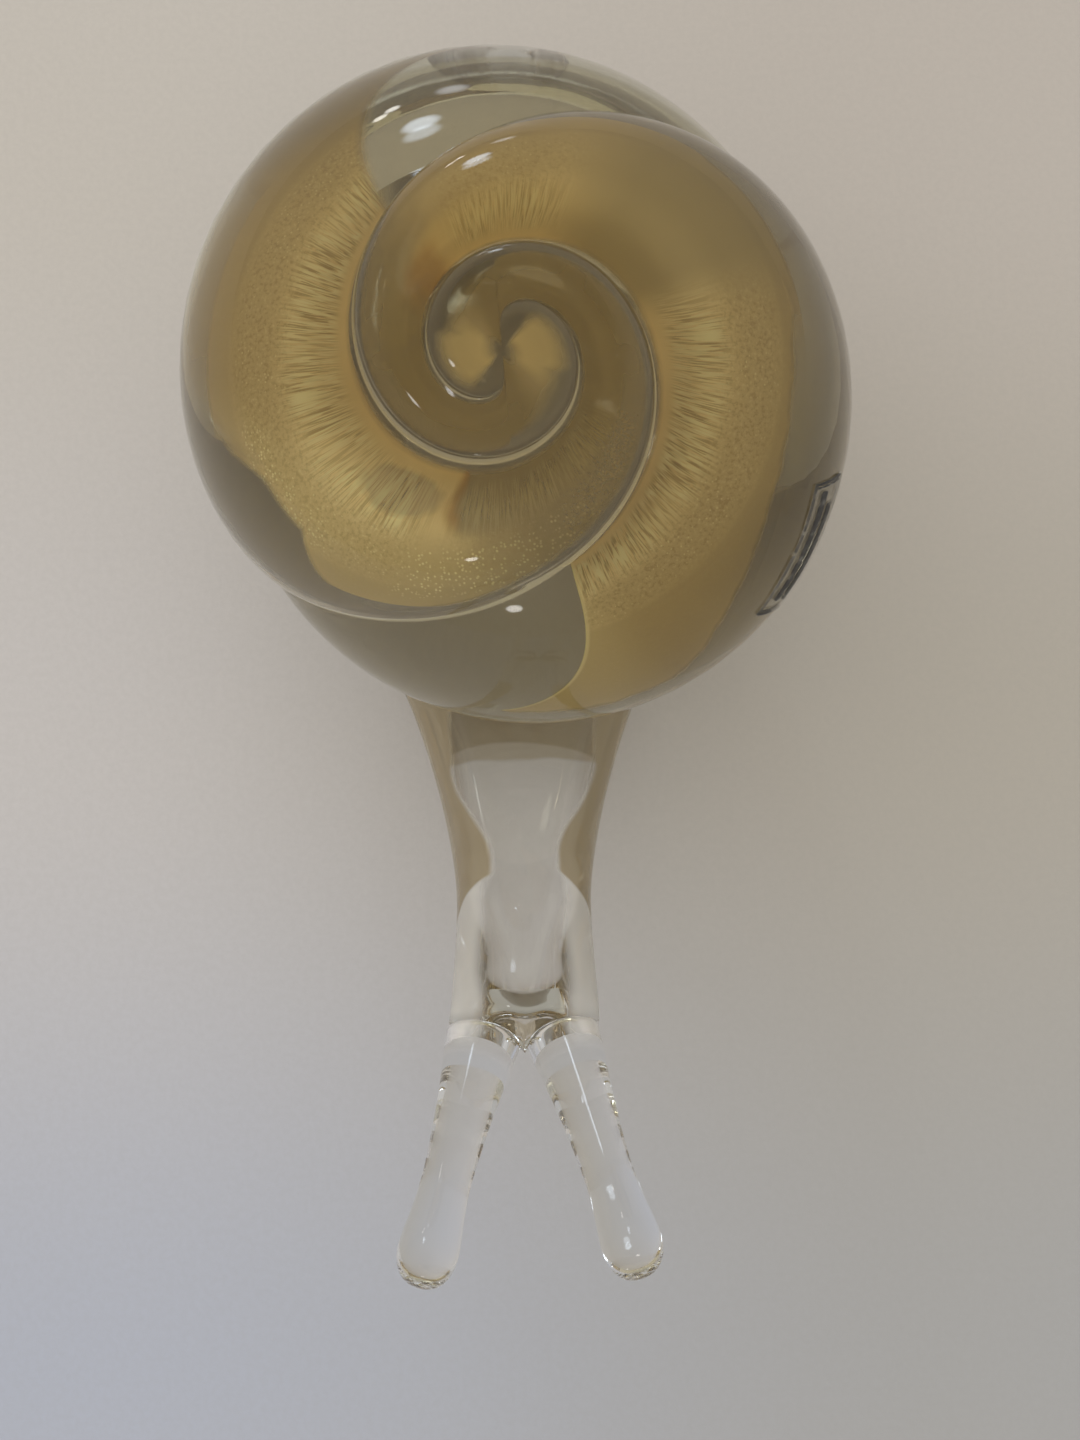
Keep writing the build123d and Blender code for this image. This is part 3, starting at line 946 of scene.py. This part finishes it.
def makeLeaf(name, which, halfTurn):
    startIn, startOut = leaf["start"][which]
    lowerEdge = leaf["lowerEdge"][which]
    wideFrom, wideSpan = leaf["wideStart"][which]

    def softEdge(seam, edge):
        return (seam**-6 + edge**-6) ** (-1 / 6)

    def spotAt(u, v):
        # turn, angle, share of the settled width
        first = startIn + (startOut - startIn) * v ** leaf["startPower"][which]
        turn = first + (leaf["end"] - first) * u
        inner, seam = seamAngle(turn + 180), seamAngle(turn)
        wide = lowerEdge + (leaf["wideEdge"] - lowerEdge) * limit((wideFrom - turn) / wideSpan, 0, 1) ** 2
        share = leaf["innerShare"] + (1 - leaf["innerShare"] - leaf["outerShare"]) * v
        angle = inner + (softEdge(seam, wide) - inner) * share
        across = (angle - inner) / (softEdge(seam, lowerEdge) - inner) / (1 - leaf["outerShare"])
        return turn, angle, across

    def place(u, v):
        turn, angle, across = spotAt(u, v)
        drop = seamHeight(seamAngle(turn + 180)) - seamHeight(min(seamAngle(turn), 90))
        depth = min(leaf["depth"], leaf["depthShare"] * drop)
        ramp = limit(across / 0.35, 0, 1)
        depth *= leaf["grooveDepth"] + (1 - leaf["grooveDepth"]) * ramp * ramp * (3 - 2 * ramp)
        point = polar(lobeRadius(angle, turn) - depth, angle, turn)
        return shellPlace @ Matrix.Rotation(math.radians(halfTurn), 4, "Z") @ point * mm

    ribbon = shapeGrid(name, leaf["columns"], leaf["rows"], place)
    ribbon.data.attributes.new("startGap", "FLOAT", "POINT")
    ribbon.data.attributes.new("edgeGap", "FLOAT", "POINT")
    startGap, edgeGap = (ribbon.data.attributes[key].data for key in ("startGap", "edgeGap"))
    for loop, corner in zip(ribbon.data.loops, ribbon.data.uv_layers.active.data):
        u, v = corner.uv
        turn, angle, across = spotAt(u, v)
        startGap[loop.vertex_index].value = turn - spotAt(0, v)[0]
        edgeGap[loop.vertex_index].value = 1 - v
        corner.uv = turn / 360, across
    wall = ribbon.modifiers.new("wall", "SOLIDIFY")
    wall.thickness = leaf["thickness"] * mm
    wall.offset = 0
    activate(ribbon)
    bpy.ops.object.modifier_apply(modifier=wall.name)
    closeUp(ribbon, 1e-7)
    return ribbon


# label

label = {
    "length": 22.0,
    "width": 11.0,
    "thickness": 0.2,
    "turn": -28.0,
    "angle": 68.0,
    "tilt": 22.0,
    "gap": 0.05,
}


def makeLabel():
    tilt = math.radians(label["tilt"])
    latitudeRadius = shell["radius"] * math.sin(math.radians(label["angle"]))

    def place(u, v):
        along = label["length"] * (u - 0.5)
        across = label["width"] * (v - 0.5)
        down = across * math.cos(tilt) - along * math.sin(tilt)
        roundAxis = along * math.cos(tilt) + across * math.sin(tilt)
        angle = label["angle"] + math.degrees(down / shell["radius"])
        turn = label["turn"] + math.degrees(roundAxis / latitudeRadius)
        lift = label["gap"] + label["thickness"] / 2
        return shellPlace @ polar(lobeRadius(angle, turn) + lift, angle, turn) * mm

    film = shapeGrid("labelFilm", 40, 20, place)
    wall = film.modifiers.new("wall", "SOLIDIFY")
    wall.thickness = label["thickness"] * mm
    wall.offset = 0
    activate(film)
    bpy.ops.object.modifier_apply(modifier=wall.name)
    closeUp(film, 1e-7)
    return film


# build

shellGlass = shellGlassMaterial(shellPlace @ Vector((0, 0, shell["crownHeight"])) * mm)
glass = bodyGlassMaterial()
fused = fusedGlass()
scrap = bpy.data.materials.new("scrap")

blank = makeSnailBlank(snail["levels"])
fineBlank = makeSnailBlank(snail["tentacleLevels"])
print("blank drawn:", len(blank.data.polygons), "faces")
lobeA = makeLobe("shellLobeA", 0)
lobeB = makeLobe("shellLobeB", 180)
print("lobes twisted:", len(lobeA.data.polygons), "faces each")
for piece in (blank, fineBlank, lobeA, lobeB):
    for material in (glass, fused, scrap):
        piece.data.materials.append(material)
ball = makeBall((lobeA, lobeB))

body = copyPiece(blank, "footAndNeck")
head = copyPiece(blank, "headPiece")
neckPoint, neckAxis, neckUp = spineFrame(*snail["neckEnd"])
neckPoint = neckPoint * mm
sliceAt(body, neckPoint, neckAxis, "behind")
cutWith(body, ball, "DIFFERENCE")
sliceAt(head, neckPoint, neckAxis, "ahead")
tentacles = {}
for side, sign in (("left", -1), ("right", 1)):
    point, axis = rootPlane(side)
    sliceAt(head, point, axis, "behind", lambda spot: spot.x * sign > 0)
    tentacle = copyPiece(fineBlank, "tentacle" + side.title())
    sliceAt(tentacle, point, axis, "ahead")
    dropFaces(tentacle, lambda face: face.center.x * sign < 0)
    tentacles[side] = tentacle
lobeA = weldLobe(lobeA, blank)
lobeB = weldLobe(lobeB, blank)
for piece in (blank, fineBlank, ball):
    dropPiece(piece)
print("gathers welded")

leafA = makeLeaf("goldLeafA", "a", 0)
leafB = makeLeaf("goldLeafB", "b", 180)
film = makeLabel()

finishPiece(lobeA, "shell_lobe_a", (shellGlass, fused))
finishPiece(lobeB, "shell_lobe_b", (shellGlass, fused))
finishPiece(body, "body", (glass, fused))
finishPiece(head, "head", (glass, fused))
finishPiece(tentacles["left"], "tentacle_left", (glass, fused))
finishPiece(tentacles["right"], "tentacle_right", (glass, fused))
finishPiece(leafA, "gold_leaf_a", (goldLeafMaterial("a"),))
finishPiece(leafB, "gold_leaf_b", (goldLeafMaterial("b"),))
finishPiece(film, "label", (labelMaterial(),))
bpy.data.materials.remove(scrap)
print("pieces dressed")


# stage

stage = {
    "floorDrop": 0.4,
    # painted shadow and light: the floor is painted darker on the right, mid and front, for the object's shadow, and
    # bluish at the front left for the light there
    "floorLeft": ((0.543, 0.502, 0.448, 1), (0.55, 0.52, 0.50, 1), (0.42, 0.44, 0.505, 1)),   # from back to front
    "floorRight": ((0.495, 0.448, 0.396, 1), (0.425, 0.388, 0.33, 1), (0.375, 0.369, 0.361, 1)),
    "fibre": (0.30, 0.28, 0.25, 1),
    "horizon": 0.3,
    "zenith": 1.12,
    "leftGain": 1.22,
    "rightGain": 0.78,
    "roomLow": 0.4,         # what the glass shows at the horizon, above it and overhead
    "roomHigh": 0.52,
    "roomTop": 0.34,
    "patches": [      # direction, angle inside and outside its soft edge, strength, colour
        ((-0.205, 0.90, 0.385), 2.0, 4.6, 7.0, (0.75, 0.87, 1.0, 1)),
        ((-0.195, 0.86, 0.475), 2.0, 4.6, 5.0, (0.75, 0.87, 1.0, 1)),
        ((-0.335, 0.93, 0.145), 0.7, 1.8, 7.0, (1.0, 0.98, 0.92, 1)),
        ((-0.295, 0.95, 0.115), 0.7, 1.8, 7.0, (1.0, 0.98, 0.92, 1)),
        ((-0.11, 0.99, 0.09), 0.8, 3.6, 2.5, (0.92, 0.96, 1.0, 1)),
        ((-0.22, -0.94, 0.26), 1.2, 2.6, 10.0, (1.0, 0.97, 0.92, 1)),
        ((-0.36, -0.14, 0.92), 0.9, 2.0, 8.0, (0.97, 0.98, 1.0, 1)),
    ],
}


def makeFloor():
    clearSelection()
    bpy.ops.mesh.primitive_plane_add(size=6, location=(0, 0, -stage["floorDrop"] * mm))
    floor = bpy.context.object
    floor.name = "floor"
    material, nodes, links, output = newMaterial("floorPaper")
    shader = addNode(nodes, "ShaderNodeBsdfPrincipled", Roughness=0.7)
    place = nodes.new("ShaderNodeTexCoord")
    split = nodes.new("ShaderNodeSeparateXYZ")
    links.new(place.outputs["Object"], split.inputs["Vector"])
    backHalf = rangeNode(nodes, links, split.outputs["Y"], 0.115, -0.005)
    frontHalf = rangeNode(nodes, links, split.outputs["Y"], -0.005, -0.14)
    sides = []
    # painted shadow on the right side and painted bluish light at the front left
    for back, middle, front in (stage["floorLeft"], stage["floorRight"]):
        sides.append(mixColour(nodes, links, frontHalf, mixColour(nodes, links, backHalf, back, middle), front))
    colour = mixColour(nodes, links, rangeNode(nodes, links, split.outputs["X"], -0.09, 0.09), *sides)
    fibre = addNode(nodes, "ShaderNodeTexNoise", Scale=700.0, Detail=3.0, Roughness=0.7)
    links.new(place.outputs["Object"], fibre.inputs["Vector"])
    darker = rangeNode(nodes, links, fibre.outputs["Fac"], 0.3, 0.7, 0.0, 0.09)
    colour = mixColour(nodes, links, darker, colour, stage["fibre"])
    links.new(colour, shader.inputs["Base Color"])
    bump = addNode(nodes, "ShaderNodeBump", Strength=0.1, Distance=0.0005)
    links.new(fibre.outputs["Fac"], bump.inputs["Height"])
    links.new(bump.outputs["Normal"], shader.inputs["Normal"])
    links.new(shader.outputs["BSDF"], output.inputs["Surface"])
    floor.data.materials.append(material)


def makeWorld():
    # a dome lights the floor and the leaf, and the glass shows a dimmer room
    world = bpy.data.worlds.new("room")
    bpy.context.scene.world = world
    world.use_nodes = True
    nodes, links = world.node_tree.nodes, world.node_tree.links
    background = nodes["Background"]
    background.inputs["Color"].default_value = (1.0, 0.985, 0.96, 1)
    place = nodes.new("ShaderNodeTexCoord")
    split = nodes.new("ShaderNodeSeparateXYZ")
    links.new(place.outputs["Generated"], split.inputs["Vector"])
    height = rangeNode(nodes, links, split.outputs["Z"], 0.0, 0.75, stage["horizon"], stage["zenith"])
    side = rangeNode(nodes, links, split.outputs["X"], -1.0, 1.0, stage["leftGain"], stage["rightGain"])
    dome = mathNode(nodes, links, "MULTIPLY", height, side)
    room = mathNode(nodes, links, "SUBTRACT",
                    rangeNode(nodes, links, split.outputs["Z"], 0.0, 0.45, stage["roomLow"], stage["roomHigh"]),
                    rangeNode(nodes, links, split.outputs["Z"], 0.76, 0.98, 0.0, stage["roomHigh"] - stage["roomTop"]))
    path = nodes.new("ShaderNodeLightPath")
    seen = mathNode(nodes, links, "MAXIMUM", path.outputs["Is Camera Ray"], path.outputs["Is Glossy Ray"])
    seen = mathNode(nodes, links, "MAXIMUM", seen, path.outputs["Is Transmission Ray"])
    seen = mathNode(nodes, links, "MULTIPLY", seen,
                    mathNode(nodes, links, "LESS_THAN", path.outputs["Diffuse Depth"], 0.5))
    level = nodes.new("ShaderNodeMix")
    for i, value in ((0, seen), (2, dome), (3, room)):
        links.new(value, level.inputs[i])
    links.new(level.outputs[0], background.inputs["Strength"])
    light = background.outputs["Background"]
    for direction, inside, outside, strength, colour in stage["patches"]:
        aim = nodes.new("ShaderNodeVectorMath")
        aim.operation = "DOT_PRODUCT"
        links.new(place.outputs["Generated"], aim.inputs[0])
        aim.inputs[1].default_value = Vector(direction).normalized()
        near = rangeNode(nodes, links, aim.outputs["Value"], math.cos(math.radians(outside)),
                         math.cos(math.radians(inside)), 0.0, strength)
        patch = addNode(nodes, "ShaderNodeBackground", Color=colour)
        links.new(near, patch.inputs["Strength"])
        total = nodes.new("ShaderNodeAddShader")
        links.new(light, total.inputs[0])
        links.new(patch.outputs["Background"], total.inputs[1])
        light = total.outputs["Shader"]
    links.new(light, nodes["World Output"].inputs["Surface"])


def makeCamera():
    data = bpy.data.cameras.new("camera")
    data.lens = 26.13
    data.sensor_width = 36
    data.clip_start = 0.01
    camera = bpy.data.objects.new("camera", data)
    bpy.context.scene.collection.objects.link(camera)
    camera.location = Vector((0.25, -31.7, 213.06)) * mm
    camera.rotation_euler = (math.radians(6.2), math.radians(-0.83), math.radians(-0.71))
    bpy.context.scene.camera = camera


makeFloor()
makeWorld()
makeCamera()
bpy.context.scene.view_settings.view_transform = "Standard"
cycles = bpy.context.scene.cycles
cycles.max_bounces = 24
cycles.transmission_bounces = 24
cycles.glossy_bounces = 12
cycles.transparent_max_bounces = 64
print("stage set")
